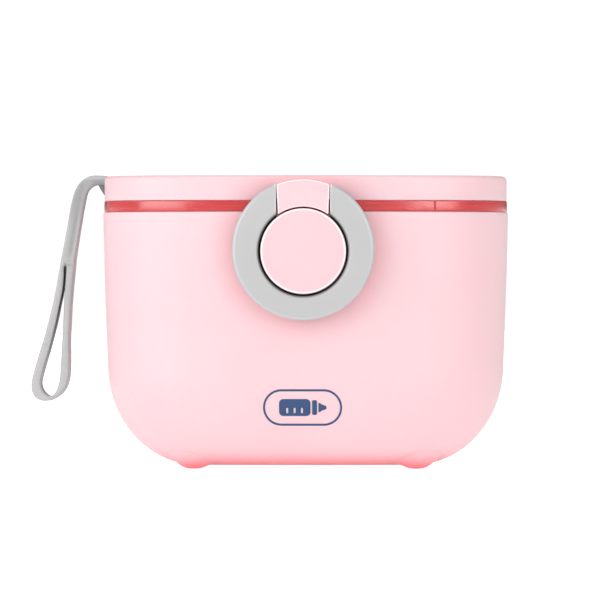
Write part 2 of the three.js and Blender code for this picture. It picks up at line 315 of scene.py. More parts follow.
def skin_point(turn, offset):
    """(inset, z) on the tub's bottom rounding, moved outwards.

    The turn runs from 0, on the flat, to a quarter turn.
    """
    normal = np.array([math.sin(turn) / ROUND_X, -math.cos(turn) / ROUND_Z])
    normal /= np.linalg.norm(normal)
    z = ROUND_Z * (1 - math.cos(turn))
    inset = lean(z) + ROUND_X * (1 - math.sin(turn))
    return inset - offset * normal[0], z + offset * normal[1]


def tub_profile(offset):
    """(inset, z) of the tub's skin from near the base centre to just under the rim."""
    flat = [(HALF_Y - half_depth, -offset) for half_depth in (1, 5, CORE, 15)]
    rounding = [skin_point(t, offset) for t in np.linspace(0, math.pi / 2, 28)]
    wall = [(lean(z) - offset, z) for z in np.linspace(ROUND_Z, TUB_TOP - RIM_ROUND - 0.6, 16)[1:]]
    return [*flat, *rounding, *wall]


def skin_inset(z):
    """Inset of the tub's outer skin at a height."""
    if z >= ROUND_Z:
        return lean(z)
    return lean(z) + ROUND_X * (1 - math.sqrt(max(0, 1 - (1 - z / ROUND_Z) ** 2)))


def front_y(x, z, offset=0):
    """The tub's front skin at x and z, moved outwards by offset."""
    inset = skin_inset(z)
    half_x, half_y = HALF_X - inset, HALF_Y - inset
    return -half_y * (1 - abs(x / half_x) ** SQUARENESS) ** (1 / SQUARENESS) - offset


def skin_height(x, y):
    """Height of the tub's underside above the base plane at x, y, by halving the inset."""
    low, high = 0.0, HALF_Y - CORE
    for _ in range(40):
        inset = (low + high) / 2
        reach = (abs(x) / (HALF_X - inset)) ** SQUARENESS + (abs(y) / (HALF_Y - inset)) ** SQUARENESS
        low, high = (inset, high) if reach < 1 else (low, inset)
    bottom, top = 0.0, float(ROUND_Z)
    for _ in range(40):
        z = (bottom + top) / 2
        bottom, top = (z, top) if skin_inset(z) > inset else (bottom, z)
    return z


# ---- materials ----
PINK = (0.925, 0.605, 0.64)
# Painted shade: the pink of the ring latch's shadow and of the shade near the base.
RING_SHADOW_PINK = (0.98, 0.555, 0.59)
BASE_SHADE_PINK = (0.95, 0.28, 0.31)
GREY = (0.495, 0.495, 0.495)
SILICONE = (0.465, 0.473, 0.473)
# Painted shade on the strap: a darker stem grey, and a cooler grey for the side towards the tub.
STEM_SHADE_GREY = (0.30, 0.32, 0.32)
TUB_SIDE_SHADE = (0.40, 0.44, 0.435)
# Painted shade: near black down the ring's bore and the strap's slit.
SHADE_BLACK = (0.012, 0.011, 0.011)

# The painted shade near the base fades out at this height, and the painted shadow round the ring latch
# this far outside the ring.
BASE_SHADE_HEIGHT = 7
RING_SHADOW_REACH = 10

# The seam down the strap's stem lies where x - STEM_LEAN * z is STEM_SEAM.
STEM_LEAN = 0.176
STEM_SEAM = -88.0 - STEM_LEAN * 75.7


class Shader:
    """A node material round one Principled shader. Even values go straight on its sockets."""

    def __init__(self, name, **values):
        self.material = bpy.data.materials.new(name)
        self.material.use_nodes = True
        self.tree = self.material.node_tree
        self.principled = self.tree.nodes["Principled BSDF"]
        for key, value in values.items():
            self.principled.inputs[key.replace("_", " ")].default_value = value
        place = self.tree.nodes.new("ShaderNodeTexCoord")
        self.coordinates, self.normal = place.outputs["Object"], place.outputs["Normal"]

    def node(self, kind, **settings):
        made = self.tree.nodes.new(kind)
        for key, value in settings.items():
            setattr(made, key, value)
        return made

    def link(self, source, target):
        self.tree.links.new(source, target)

    def noise(self, scale, detail=2.0, stretch=(1, 1, 1)):
        """Noise over the object's own coordinates, in features per metre."""
        mapping = self.node("ShaderNodeMapping")
        mapping.inputs["Scale"].default_value = stretch
        made = self.node("ShaderNodeTexNoise")
        made.inputs["Scale"].default_value = scale
        made.inputs["Detail"].default_value = detail
        self.link(self.coordinates, mapping.inputs["Vector"])
        self.link(mapping.outputs["Vector"], made.inputs["Vector"])
        return made.outputs["Fac"]

    def ramp(self, factor, stops):
        """A colour from (position, colour) stops."""
        made = self.node("ShaderNodeValToRGB")
        elements = made.color_ramp.elements
        while len(elements) < len(stops):
            elements.new(0.5)
        for element, (position, colour) in zip(elements, stops):
            element.position = position
            element.color = (*colour, 1)
        self.link(factor, made.inputs["Fac"])
        return made.outputs["Color"]

    def spread(self, factor, low, high):
        """From low where the factor is 0 to high where it is 1."""
        made = self.node("ShaderNodeMapRange")
        made.inputs["To Min"].default_value = low
        made.inputs["To Max"].default_value = high
        self.link(factor, made.inputs["Value"])
        return made.outputs["Result"]

    def step(self, value, low, high):
        """Rises smoothly from 0 at low to 1 at high, or falls where low is above high."""
        made = self.node("ShaderNodeMapRange", interpolation_type="SMOOTHSTEP")
        made.inputs["From Min"].default_value = low
        made.inputs["From Max"].default_value = high
        self.link(value, made.inputs["Value"])
        return made.outputs["Result"]

    def stretch(self, value, low, high):
        """A step between two lengths in millimetres."""
        return self.step(value, low * MM, high * MM)

    def axes(self, vector):
        """The vector's X, Y and Z."""
        apart = self.node("ShaderNodeSeparateXYZ")
        self.link(vector, apart.inputs[0])
        return apart.outputs

    def radius(self, centre_z):
        """Distance from the front-to-back line at this height."""
        place = self.axes(self.coordinates)
        height = self.math("SUBTRACT", place["Z"], centre_z * MM)
        squares = [self.times(v, v) for v in (place["X"], height)]
        return self.math("SQRT", self.math("ADD", *squares))

    def mix(self, factor, colour, other):
        """From one colour to another, where a colour is an output or a plain triple."""
        made = self.node("ShaderNodeMix", data_type="RGBA")
        self.link(factor, made.inputs["Factor"])
        for socket, value in ((made.inputs["A"], colour), (made.inputs["B"], other)):
            if isinstance(value, tuple):
                socket.default_value = (*value, 1)
            else:
                self.link(value, socket)
        return made.outputs["Result"]

    def math(self, operation, a, b=None):
        """One sum, of outputs or plain numbers."""
        made = self.node("ShaderNodeMath", operation=operation)
        for socket, value in zip(made.inputs, (a, b)):
            if isinstance(value, (int, float)):
                socket.default_value = value
            elif value is not None:
                self.link(value, socket)
        return made.outputs[0]

    def times(self, first, *others):
        """The product of all the factors."""
        for other in others:
            first = self.math("MULTIPLY", first, other)
        return first

    def bump(self, *layers):
        """Bump from (height, strength, distance in mm) layers, one over the other."""
        normal = None
        for height, strength, distance in layers:
            made = self.node("ShaderNodeBump")
            made.inputs["Strength"].default_value = strength
            made.inputs["Distance"].default_value = distance * MM
            self.link(height, made.inputs["Height"])
            if normal:
                self.link(normal, made.inputs["Normal"])
            normal = made.outputs["Normal"]
        self.link(normal, self.principled.inputs["Normal"])


def tinted(colour, amount):
    """A lighter colour, or a darker one where the amount is below 0."""
    return tuple(min(1.0, c * (1 + amount)) for c in colour)


def moulded(name, colour, roughness, grain=0.12, deep=None, ring_shadow=None, **values):
    """Moulded plastic: a faint cloudiness, an eroded fine texture and a slow waviness.

    It can take painted shade: a deeper pink towards its base, where shade falls near the floor, and a
    warmer pink shadow on the front wall round the ring latch.
    """
    shader = Shader(name, **values)
    cloud = shader.noise(22, 3)
    base = shader.ramp(cloud, [(0.35, tinted(colour, -0.012)), (0.65, tinted(colour, 0.012))])
    place = shader.axes(shader.coordinates)
    # Painted shadow: a warmer pink on the front wall round the ring latch, where the ring shades it.
    if ring_shadow:
        near = shader.stretch(shader.radius(RING_Z), RING_R + RING_SHADOW_REACH, RING_R + 1)
        in_front = shader.stretch(place["Y"], -40, -45)
        behind_lug = shader.stretch(place["Y"], -54.5, -53.5)
        base = shader.mix(shader.times(near, in_front, behind_lug), base, ring_shadow)
    # Painted shade: a deeper pink towards the base, where shade falls near the floor.
    if deep:
        low = shader.math("SUBTRACT", 1.0, shader.math("DIVIDE", place["Z"], BASE_SHADE_HEIGHT * MM))
        base = shader.mix(shader.math("POWER", shader.math("MAXIMUM", low, 0.0), 2.0), base, deep)
    shader.link(base, shader.principled.inputs["Base Color"])
    fine = shader.noise(4200, 2)
    gloss = shader.spread(fine, roughness - 0.05, roughness + 0.05)
    shader.link(gloss, shader.principled.inputs["Roughness"])
    shader.bump((shader.noise(30, 1), 0.04, 0.3), (fine, grain, 0.03))
    return shader.material


def ring_plastic():
    """Satin grey, with painted shade: near black down the bore beside the catch."""
    shader = Shader("grey_plastic")
    cloud = shader.ramp(shader.noise(40, 5), [(0.35, tinted(GREY, -0.02)), (0.65, tinted(GREY, 0.02))])
    # Painted shade: the bore turns near black where the gap to the catch lies in shade.
    unshaded = shader.stretch(shader.radius(CATCH_Z), BORE_R - 0.1, BORE_R + 1.2)
    shader.link(shader.mix(unshaded, SHADE_BLACK, cloud), shader.principled.inputs["Base Color"])
    fine = shader.noise(3600, 3)
    shader.link(shader.spread(fine, 0.42, 0.54), shader.principled.inputs["Roughness"])
    shader.bump((shader.noise(260, 3), 0.05, 0.1), (fine, 0.15, 0.03))
    return shader.material


def strap_painted_shade(shader, base):
    """Painted shade on the strap: darker along the stem's seam, under its root and down its bend, a
    cooler, darker side towards the tub against the pink light bounced off it, and black down the slit.
    """
    place = shader.axes(shader.coordinates)
    x, z = place["X"], place["Z"]
    leaning = shader.math("SUBTRACT", x, shader.times(z, STEM_LEAN))
    off_seam = shader.math("ABSOLUTE", shader.math("SUBTRACT", leaning, STEM_SEAM * MM))
    # Painted shade along the seam where the stem's two strands meet.
    seam = shader.times(shader.stretch(off_seam, 1.5, 0.2), shader.stretch(z, 74, 80), 0.75)
    # Painted shade under the root and down the bend, below the lit top edge.
    below_top = shader.stretch(z, 106.4, 105)
    root = shader.times(below_top, shader.stretch(x, -82, -78))
    bend = shader.times(below_top, shader.stretch(z, 86, 98), 0.6)
    stem_shade = shader.math("MAXIMUM", seam, shader.math("MAXIMUM", root, bend))
    base = shader.mix(stem_shade, base, STEM_SHADE_GREY)

    # Painted against the pink light bounced off the tub: the side facing it is cooler and darker.
    facing = shader.axes(shader.normal)["X"]
    base = shader.mix(shader.step(facing, 0.0, 0.7), base, TUB_SIDE_SHADE)
    # Painted shade: the outer strand's inner face turns black down the narrow slit.
    outer_strand = shader.stretch(x, SLIT_TOP[0] + 0.2, SLIT_TOP[0] - 0.3)
    narrow_end = shader.stretch(z, 28, 60)
    slit_shade = shader.times(outer_strand, shader.step(facing, 0.5, 0.85), narrow_end)
    return shader.mix(slit_shade, base, SHADE_BLACK)


def silicone(name, colour, roughness=0.55, painted_shade=None):
    """Matte silicone, with painted shade laid over its colour where it has it."""
    shader = Shader(name, Sheen_Weight=0.15, Sheen_Roughness=0.4)
    cloud = shader.noise(90, 4, stretch=(1, 1, 0.3))
    base = shader.ramp(cloud, [(0.3, tinted(colour, -0.05)), (0.7, tinted(colour, 0.05))])
    if painted_shade:
        base = painted_shade(shader, base)
    shader.link(base, shader.principled.inputs["Base Color"])
    fine = shader.noise(2600, 3)
    gloss = shader.spread(fine, roughness - 0.08, roughness + 0.08)
    shader.link(gloss, shader.principled.inputs["Roughness"])
    shader.bump((shader.noise(220, 2), 0.08, 0.15), (fine, 0.2, 0.03))
    return shader.material


def red_clear():
    """Glossy translucent red with flow marks along the band."""
    colour = (0.68, 0.03, 0.036)
    shader = Shader(
        "red_clear",
        Transmission_Weight=0.12,
        IOR=1.49,
        Coat_Weight=0.5,
        Coat_Roughness=0.2,
        Subsurface_Weight=0.3,
        Subsurface_Radius=(1.0, 0.1, 0.1),
        Subsurface_Scale=0.002,
    )
    flow = shader.noise(60, 3, stretch=(1, 1, 14))
    stops = [(0.3, tinted(colour, -0.12)), (0.7, tinted(colour, 0.12))]
    shader.link(shader.ramp(flow, stops), shader.principled.inputs["Base Color"])
    shader.link(shader.spread(flow, 0.2, 0.32), shader.principled.inputs["Roughness"])
    shader.bump((shader.noise(70, 2, stretch=(1, 1, 6)), 0.06, 0.3))
    return shader.material


def steel():
    """Steel wire with drawing marks along it."""
    shader = Shader("pin_steel", Metallic=1.0)
    drawn = shader.noise(900, 3, stretch=(0.05, 1, 1))
    stops = [(0.3, (0.5, 0.5, 0.52)), (0.7, (0.66, 0.66, 0.67))]
    shader.link(shader.ramp(drawn, stops), shader.principled.inputs["Base Color"])
    shader.link(shader.spread(drawn, 0.22, 0.38), shader.principled.inputs["Roughness"])
    shader.bump((drawn, 0.1, 0.02))
    return shader.material


def print_ink():
    """Navy ink, a little speckled."""
    shader = Shader("navy_print")
    speckle = shader.noise(2500, 3)
    stops = [(0.3, (0.018, 0.058, 0.165)), (0.7, (0.024, 0.072, 0.19))]
    shader.link(shader.ramp(speckle, stops), shader.principled.inputs["Base Color"])
    shader.link(shader.spread(speckle, 0.35, 0.5), shader.principled.inputs["Roughness"])
    shader.bump((speckle, 0.1, 0.01))
    return shader.material


SUBSURFACE = {
    "Subsurface_Weight": 0.45,
    "Subsurface_Radius": (1.0, 0.25, 0.25),
    "Subsurface_Scale": 0.005,
}
SHALLOW = {**SUBSURFACE, "Subsurface_Weight": 0.2, "Subsurface_Scale": 0.001}

pink_shell = moulded("pink_shell", PINK, 0.48, deep=BASE_SHADE_PINK, ring_shadow=RING_SHADOW_PINK, **SUBSURFACE)
pink_smooth = moulded("pink_smooth", tinted(PINK, -0.045), 0.4, grain=0.06, **SHALLOW)
# Lighter materials for painted highlights along bevelled edges.
pink_edge_highlight = moulded("pink_edge_highlight", (0.96, 0.90, 0.905), 0.3, grain=0.04)
white_edge_highlight = moulded("white_edge_highlight", (0.97, 0.95, 0.95), 0.3, grain=0.04)
# Painted shade: a deeper pink for the crease under the lid's lug.
pink_crease_shade = moulded("pink_crease_shade", (0.92, 0.42, 0.46), 0.5)
grey_edge_highlight = moulded("grey_edge_highlight", (0.51, 0.53, 0.545), 0.35, grain=0.04)
grey_corner_highlight = moulded("grey_corner_highlight", (0.74, 0.76, 0.77), 0.35, grain=0.04)
white_plastic = moulded("white_plastic", (0.84, 0.80, 0.80), 0.3, grain=0.05)
grey_plastic = ring_plastic()
grey_silicone = silicone("grey_silicone", SILICONE, painted_shade=strap_painted_shade)
dark_silicone = silicone("dark_silicone", tinted(SILICONE, -0.6))
clear_silicone = silicone("clear_silicone", (0.74, 0.73, 0.71), 0.4)
red_plastic = red_clear()
pin_steel = steel()
navy_print = print_ink()


def finish_piece(obj, material, body, slot, *nodes):
    """Material, body and the CAD nodes that a piece stands for. The record slot argument is not used.
    """
    obj.data.materials.clear()
    obj.data.materials.append(material)
    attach(obj, body)
    if nodes:
        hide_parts(*nodes)
    return obj


def paint_edge_light_and_shade(obj, material, is_edge):
    """Gives the narrow faces along an edge their own material, which paints light on them: lighter for
    a painted highlight, deeper pink for a painted crease shade.
    """
    obj.data.materials.append(material)
    last = len(obj.data.materials) - 1
    for face in obj.data.polygons:
        if is_edge(face.center, face.normal):
            face.material_index = last


# ---- camera, lights and floor ----
def place_camera():
    """Level, far away and a touch to the right, as a product picture is taken."""
    distance = 3500
    azimuth = math.radians(1.04)
    target = np.array([-2.2, 0, 61.0])
    field = 222.8
    place = target + distance * np.array([math.sin(azimuth), -math.cos(azimuth), 0])
    data = bpy.data.cameras.new("camera")
    data.sensor_width = 36
    data.lens = 36 * distance / field
    data.clip_end = 20
    camera = bpy.data.objects.new("camera", data)
    camera.location = Vector(place * MM)
    camera.rotation_euler = (math.pi / 2, 0, azimuth)
    scene.collection.objects.link(camera)
    scene.camera = camera


def softbox(name, azimuth, elevation, distance, size, radiance, gloss_only=False):
    """An area light seen from the front at this azimuth and elevation, in degrees."""
    a, e = math.radians(azimuth), math.radians(elevation)
    away = Vector((math.sin(a) * math.cos(e), -math.cos(a) * math.cos(e), math.sin(e)))
    data = bpy.data.lights.new(name, "AREA")
    data.shape = "RECTANGLE"
    data.size, data.size_y = size
    data.energy = radiance * math.pi * size[0] * size[1]
    light = bpy.data.objects.new(name, data)
    light.location = Vector((0, 0, 0.06)) + away * distance
    light.rotation_euler = away.to_track_quat("Z", "Y").to_euler()
    light.visible_diffuse = not gloss_only
    scene.collection.objects.link(light)


def camera_only(tree, dim, bright, output):
    """Shows the bright shader to the camera and lights the object with the dim one."""
    mix = tree.nodes.new("ShaderNodeMixShader")
    path = tree.nodes.new("ShaderNodeLightPath")
    tree.links.new(path.outputs["Is Camera Ray"], mix.inputs[0])
    tree.links.new(dim, mix.inputs[1])
    tree.links.new(bright, mix.inputs[2])
    tree.links.new(mix.outputs[0], output)


def make_world():
    """A white studio, darker behind the object, which draws its silhouette."""
    world = bpy.data.worlds.new("studio")
    world.use_nodes = True
    tree = world.node_tree
    tree.nodes.clear()
    shaders = []
    for _ in range(2):
        made = tree.nodes.new("ShaderNodeBackground")
        made.inputs["Color"].default_value = (1, 1, 1, 1)
        made.inputs["Strength"].default_value = 1.05
        shaders.append(made)
    direction = tree.nodes.new("ShaderNodeTexCoord")
    apart = tree.nodes.new("ShaderNodeSeparateXYZ")
    tree.links.new(direction.outputs["Generated"], apart.inputs[0])
    mixed = tree.nodes.new("ShaderNodeMix")
    path = tree.nodes.new("ShaderNodeLightPath")
    tree.links.new(path.outputs["Is Glossy Ray"], mixed.inputs["Factor"])
    for target, rear in (("A", 0.36), ("B", 0.14)):
        fade = tree.nodes.new("ShaderNodeMapRange")
        ends = (("From Min", 0.1), ("From Max", 0.95), ("To Min", 0.84), ("To Max", rear))
        for socket, value in ends:
            fade.inputs[socket].default_value = value
        tree.links.new(apart.outputs["Y"], fade.inputs["Value"])
        tree.links.new(fade.outputs["Result"], mixed.inputs[target])
    tree.links.new(mixed.outputs["Result"], shaders[0].inputs["Strength"])
    output = tree.nodes.new("ShaderNodeOutputWorld").inputs["Surface"]
    camera_only(tree, shaders[0].outputs[0], shaders[1].outputs[0], output)
    scene.world = world


def make_floor():
    """A wide pale floor that shows nearly white."""
    half = 30000
    corners = [(x, y, FLOOR_Z) for x, y in ((-half, -half), (half, -half), (half, half), (-half, half))]
    floor = piece("floor", corners, [(0, 1, 2, 3)])
    material = bpy.data.materials.new("floor_white")
    material.use_nodes = True
    tree = material.node_tree
    plain = tree.nodes["Principled BSDF"]
    plain.inputs["Base Color"].default_value = (0.86, 0.86, 0.86, 1)
    plain.inputs["Roughness"].default_value = 0.9
    plain.inputs["Specular IOR Level"].default_value = 0.0
    shaders = []
    for strength in (0.35, 0.8):
        glow = tree.nodes.new("ShaderNodeEmission")
        glow.inputs["Strength"].default_value = strength
        lit = tree.nodes.new("ShaderNodeAddShader")
        tree.links.new(plain.outputs[0], lit.inputs[0])
        tree.links.new(glow.outputs[0], lit.inputs[1])
        shaders.append(lit.outputs[0])
    camera_only(tree, *shaders, tree.nodes["Material Output"].inputs["Surface"])
    floor.data.materials.append(material)


scene.view_settings.view_transform = "Standard"
place_camera()
make_world()
make_floor()
softbox("left_softbox", -50, 14, 1.3, (0.95, 0.9), 1.95)
softbox("right_softbox", 35, 14, 1.3, (0.6, 0.9), 1.05)
softbox("left_card", -50, 10, 1.25, (0.9, 0.8), 2.6, gloss_only=True)
softbox("right_card", 38, 10, 1.25, (0.75, 0.8), 3.6, gloss_only=True)


# ---- tub ----
def tub_ear(low, high):
    """A hinge ear: a web up the rear wall with a round knuckle at its top."""
    knuckle = arc((HINGE_Y, HINGE_Z), KNUCKLE_R, -30, 205, 28)
    shape = [(50.2, 80.5), (51.6, 81.4), *knuckle, (53.2, 93.0), (50.2, 93.0)]
    return slab("ear", shape, "yz", low, high, 0.5)


def make_tub():
    """The tub: an open shell with the catch's pad in front and two hinge ears behind."""
    outer = tub_profile(0)
    rim = lean(TUB_TOP)
    outer_edge = arc((rim + RIM_ROUND, TUB_TOP - RIM_ROUND), RIM_ROUND, 180, 90, 6)
    inner_edge = arc((rim + WALL - 0.5, TUB_TOP - 0.5), 0.5, 90, 0, 4)
    inner = list(reversed(tub_profile(-WALL)))
    tub = wall_piece("tub_shell", [*outer, *outer_edge, *inner_edge, *inner], closed=False)
    pad_edge = arc((PAD_R - 0.5, PAD_Y + 0.5), 0.5, 0, -90, 4)
    pad = [(0.05, PAD_Y + 2.5), (PAD_R, PAD_Y + 2.5), *pad_edge, (0.05, PAD_Y)]
    boolean(tub, turned("pad", pad, (0, 0, CATCH_Z), "y"), "UNION")
    for side in (-1, 1):
        low, high = sorted(side * x for x in EAR_X)
        boolean(tub, tub_ear(low, high), "UNION")
    bore = rod("bore", HINGE_PIN_R + 0.15, -40, 40, HINGE_Y, HINGE_Z)
    boolean(tub, bore, "DIFFERENCE")
    finish_piece(tub, pink_shell, "tub", "shell_pink", "tub")


def make_foot(node):
    """A soft blob that runs out onto the tub's rounding in a fillet and ends inside the wall."""
    low, high = span(node)
    x0, y0 = (low[:2] + high[:2]) / 2
    sides, rings = 96, 34
    sinks_from, skirt = 9.5, 11.5
    fillet = 1.6
    rise, power = 0.0248, 2.46

    def surface(x, y, radius):
        dome = FLOOR_Z + rise * radius**power
        skin = skin_height(x, y) - 0.015 + 0.1 * max(0, radius - sinks_from)
        mixed = max(fillet - abs(dome - skin), 0) / fillet
        return min(dome, skin) - mixed * mixed * fillet / 4

    turn = np.linspace(0, 2 * math.pi, sides, endpoint=False)
    levels = []
    for radius in np.linspace(0.4, skirt, rings):
        x, y = x0 + radius * np.cos(turn), y0 + radius * np.sin(turn)
        levels.append([(u, v, surface(u, v, radius)) for u, v in zip(x, y)])
    top = [(u, v, skin_height(u, v) + 0.6) for u, v, _ in levels[-1]]
    foot = piece(f"{node}_pad", *loft([*levels, top]), 60)
    finish_piece(foot, pink_shell, "tub", "shell_pink", node)


def make_catch():
    """The round catch: a nearly flat face, a chamfered rim with a painted highlight and a short stem.
    """
    back = PAD_Y - GAP
    face_y = RING_FRONT_Y + 0.7
    crown = 0.15
    rim = 0.7
    face = [(r, face_y + crown * (r / CATCH_R) ** 2) for r in np.linspace(0.3, CATCH_R - rim, 10)]
    edge_y = face[-1][1]
    edge = [(CATCH_R - inset, edge_y + drop) for inset, drop in ((0.12, 0.22), (0.03, 0.32), (0, 0.5))]
    rear = [(CATCH_R, back - 0.4), (CATCH_R - 0.4, back), (5, back), (4.3, back + 1), (0.05, back + 1)]
    catch = turned("catch_button", [*face, *edge, *rear], (0, 0, CATCH_Z), "y", 160, angle=12)
    finish_piece(catch, pink_smooth, "tub", "shell_pink", "catch_boss")
    # Painted highlight: the rim's chamfer faces get a near-white material.
    front = (face_y + 1.2) * MM
    paint_edge_light_and_shade(catch, white_edge_highlight, lambda c, n: -0.985 < n.y < -0.3 and c.y < front)


def make_leveller():
    """The red frame: a rounded band, a plug wall with the seal's groove, and the levelling blade."""
    lower, upper = BAND_BOTTOM - GAP + 0.04, BAND_TOP + GAP - 0.04
    edge = 0.35
    face = [
        *arc((BAND_INSET + edge, lower + edge), edge, 270, 180, 5),
        (BAND_INSET - 0.02, (lower + upper) / 2),
        *arc((BAND_INSET + edge, upper - edge), edge, 180, 90, 5),
    ]
    plug, seat = 3.6, 4.4
    bottom = band_low[2]
    profile = [(plug, lower), *face, (MOUTH_INSET, upper), (MOUTH_INSET, bottom), (plug + 0.4, bottom)]
    profile += [(plug, bottom + 0.5), (plug, 88.0), (seat, 88.0), (seat, 90.6), (plug, 90.6)]
    band = wall_piece("leveller_band", profile)
    first, last = BLADE_X
    blade = [(first, 91.5), (first + 0.8, 91.5), (last, 90.2), (last, 88), (first + 2, 88)]
    end = abs(front_y((first + last) / 2, TUB_TOP)) - seat
    boolean(band, slab("blade", blade, "xz", -end, end, 0.25), "UNION")
    skin = front_y(GROOVE_X, TUB_TOP)
    left, right = GROOVE_X - 0.35, GROOVE_X + 0.35
    cut = [(left, lower), (right, lower), (right, upper), (left, upper)]
    boolean(band, slab("groove", cut, "xz", skin - 1, skin + 0.75, 0), "DIFFERENCE")
    finish_piece(band, red_plastic, "tub", "frame_red", "leveller_frame")


def make_frame_seal():
    """The silicone ring in the frame's groove, with a round lip against the tub."""
    low, high = span("frame_seal")[0][2], span("frame_seal")[1][2]
    lip = arc((3.4, (low + high) / 2), 0.7, 250, 110, 10)
    profile = [(4.1, low), (3.5, low), *lip, (3.5, high), (4.1, high)]
    seal = wall_piece("frame_seal_ring", profile)
    finish_piece(seal, clear_silicone, "tub", "seal_white", "frame_seal")


def make_hinge_pin():
    pin = rod("hinge_rod", HINGE_PIN_R, -EAR_X[1], EAR_X[1], HINGE_Y, HINGE_Z)
    finish_piece(pin, pin_steel, "tub", "pin_steel", "hinge_pin")


# ---- lid ----
def lug_shape():
    """The lug's outline: an arched top, tapered sides and a foot that follows the catch."""
    foot = CATCH_R + LUG_GAP
    top = RING_R - 0.5
    foot_angle = math.degrees(math.asin(LUG_FOOT_X / foot))
    top_angle = math.degrees(math.asin(LUG_TOP_X / top))
    return [
        *arc((0, CATCH_Z), foot, 90 + foot_angle, 90 - foot_angle, 24),
        *arc((0, RING_Z), top, 90 - top_angle, 90 + top_angle, 24),
    ]


def lid_cover():
    """The lid's crowned top and its skirt."""
    top_edge = arc((SKIRT_INSET + LID_EDGE, LID_TOP - LID_CROWN - LID_EDGE), LID_EDGE, 90, 180, 10)
    inside = SKIRT_INSET + LID_WALL
    ceiling = LID_TOP - LID_CROWN - LID_WALL
    flat_end = HALF_Y - SKIRT_INSET - LID_EDGE
    reaches = (1, 5, CORE, 18, 24, 30, 36, 41, 45)
    crown = [(HALF_Y - d, LID_TOP - LID_CROWN * (d / flat_end) ** 2) for d in reaches]
    foot_edge = arc((SKIRT_INSET + 0.4, SKIRT_BOTTOM + 0.4), 0.4, 180, 270, 4)
    inner_edge = arc((inside + 0.9, ceiling - 0.9), 0.9, 180, 90, 4)
    under = [(HALF_Y - d, ceiling + 0.1) for d in (30, CORE, 5, 1)]
    profile = [*crown, *top_edge, *foot_edge, (inside, SKIRT_BOTTOM), *inner_edge, *under]
    return wall_piece("lid_cover", profile, closed=False)


def lid_lug():
    """The lug that the ring hangs on. Its root joins the skirt only where the skirt is."""
    lug = slab("lug", lug_shape(), "xz", RING_FRONT_Y + 0.2, LUG_BACK_Y, 0.4)
    root = slab("lug_root", lug_shape(), "xz", *LUG_ROOT_Y, 0)
    side = 2 * LUG_TOP_X
    above = [(-side, SKIRT_BOTTOM), (side, SKIRT_BOTTOM), (side, LID_TOP), (-side, LID_TOP)]
    boolean(root, slab("above", above, "xz", LUG_ROOT_Y[0] - 1, LUG_ROOT_Y[1] + 1, 0), "INTERSECT")
    return boolean(lug, root, "UNION")


def make_lid():
    """The lid: its cover with the front lug, the rear barrel and the bores of both pins."""
    lid = boolean(lid_cover(), lid_lug(), "UNION")
    barrel = arc((HINGE_Y, HINGE_Z), KNUCKLE_R, -195, 90, 36)
    shape = [*barrel, (50.6, HINGE_Z + KNUCKLE_R), (50.6, HINGE_Z + 0.9)]
    boolean(lid, slab("barrel", shape, "yz", -LID_KNUCKLE_X, LID_KNUCKLE_X, 0.4), "UNION")
    boolean(lid, rod("bore", HINGE_PIN_R + 0.15, -40, 40, HINGE_Y, HINGE_Z), "DIFFERENCE")
    boolean(lid, rod("bore", LATCH_PIN_R + 0.15, -12, 12, LATCH_PIN_Y, LATCH_PIN_Z), "DIFFERENCE")
    finish_piece(lid, pink_shell, "lid", "shell_pink", "lid_shell")
    front, back = (RING_FRONT_Y + 1.2) * MM, LUG_ROOT_Y[0] * MM
    foot = (SKIRT_BOTTOM + 2) * MM
    # Painted highlight: the lug's front bevels get a lighter pink.
    paint_edge_light_and_shade(lid, pink_edge_highlight, lambda c, n: -0.97 < n.y < -0.2 and c.y < front and n.z > -0.3)
    # Painted shade: the down-facing faces at the lug's foot, over the catch, get a deeper pink.
    paint_edge_light_and_shade(lid, pink_crease_shade, lambda c, n: n.z < -0.3 and c.y < back and c.z < foot)


def make_liner():
    """The white inner lid: a plate, a plug wall and two pairs of scoop clips."""
    low, high = 99.0, 100.8
    foot = span("lid_liner")[0][2]
    tip = arc((6.4, foot + 0.8), 0.8, 0, -180, 10)
    plate = [(HALF_Y - d, low) for d in (1, 5, CORE, 30)]
    over = [(HALF_Y - d, high) for d in (30, CORE, 5, 1)]
    profile = [*plate, (8, low), (7.2, low - 0.8), *tip, (5.6, low), (3.2, low), (2.9, low + 0.3)]
    profile += [(2.9, high - 0.3), (3.2, high), *over]
    liner = wall_piece("liner_plate", profile, closed=False)
    scoop_y = (span("scoop")[0][1] + span("scoop")[1][1]) / 2
    clip_length, clip_low, clip_high = 6, 92.6, 99.4
    for x in (-6, 24):
        end = x + clip_length
        shape = [(x, clip_low), (end, clip_low), (end, clip_high), (x, clip_high)]
        for side in (-1, 1):
            near, far = sorted((scoop_y + side * 4.3, scoop_y + side * 5.9))
            boolean(liner, slab("clip", shape, "xz", near, far, 0.35), "UNION")
    finish_piece(liner, white_plastic, "lid", "liner_white", "lid_liner")


def make_lid_gasket():
    """The silicone ring that closes the lid on the frame."""
    low, high = span("lid_gasket")[0][2], span("lid_gasket")[1][2]
    lip = arc((4.5, low + 0.5), 0.5, 0, -90, 6)
    profile = [(3.1, high), (5.0, high), *lip, (3.6, low), (3.1, low + 0.4)]
    finish_piece(wall_piece("lid_seal", profile), clear_silicone, "lid", "seal_white", "lid_gasket")


def make_latch_pin():
    low, high = span("latch_pin")[0][0], span("latch_pin")[1][0]
    pin = rod("latch_rod", LATCH_PIN_R, low, high, LATCH_PIN_Y, LATCH_PIN_Z, 0.2)
    finish_piece(pin, pin_steel, "lid", "pin_steel", "latch_pin")


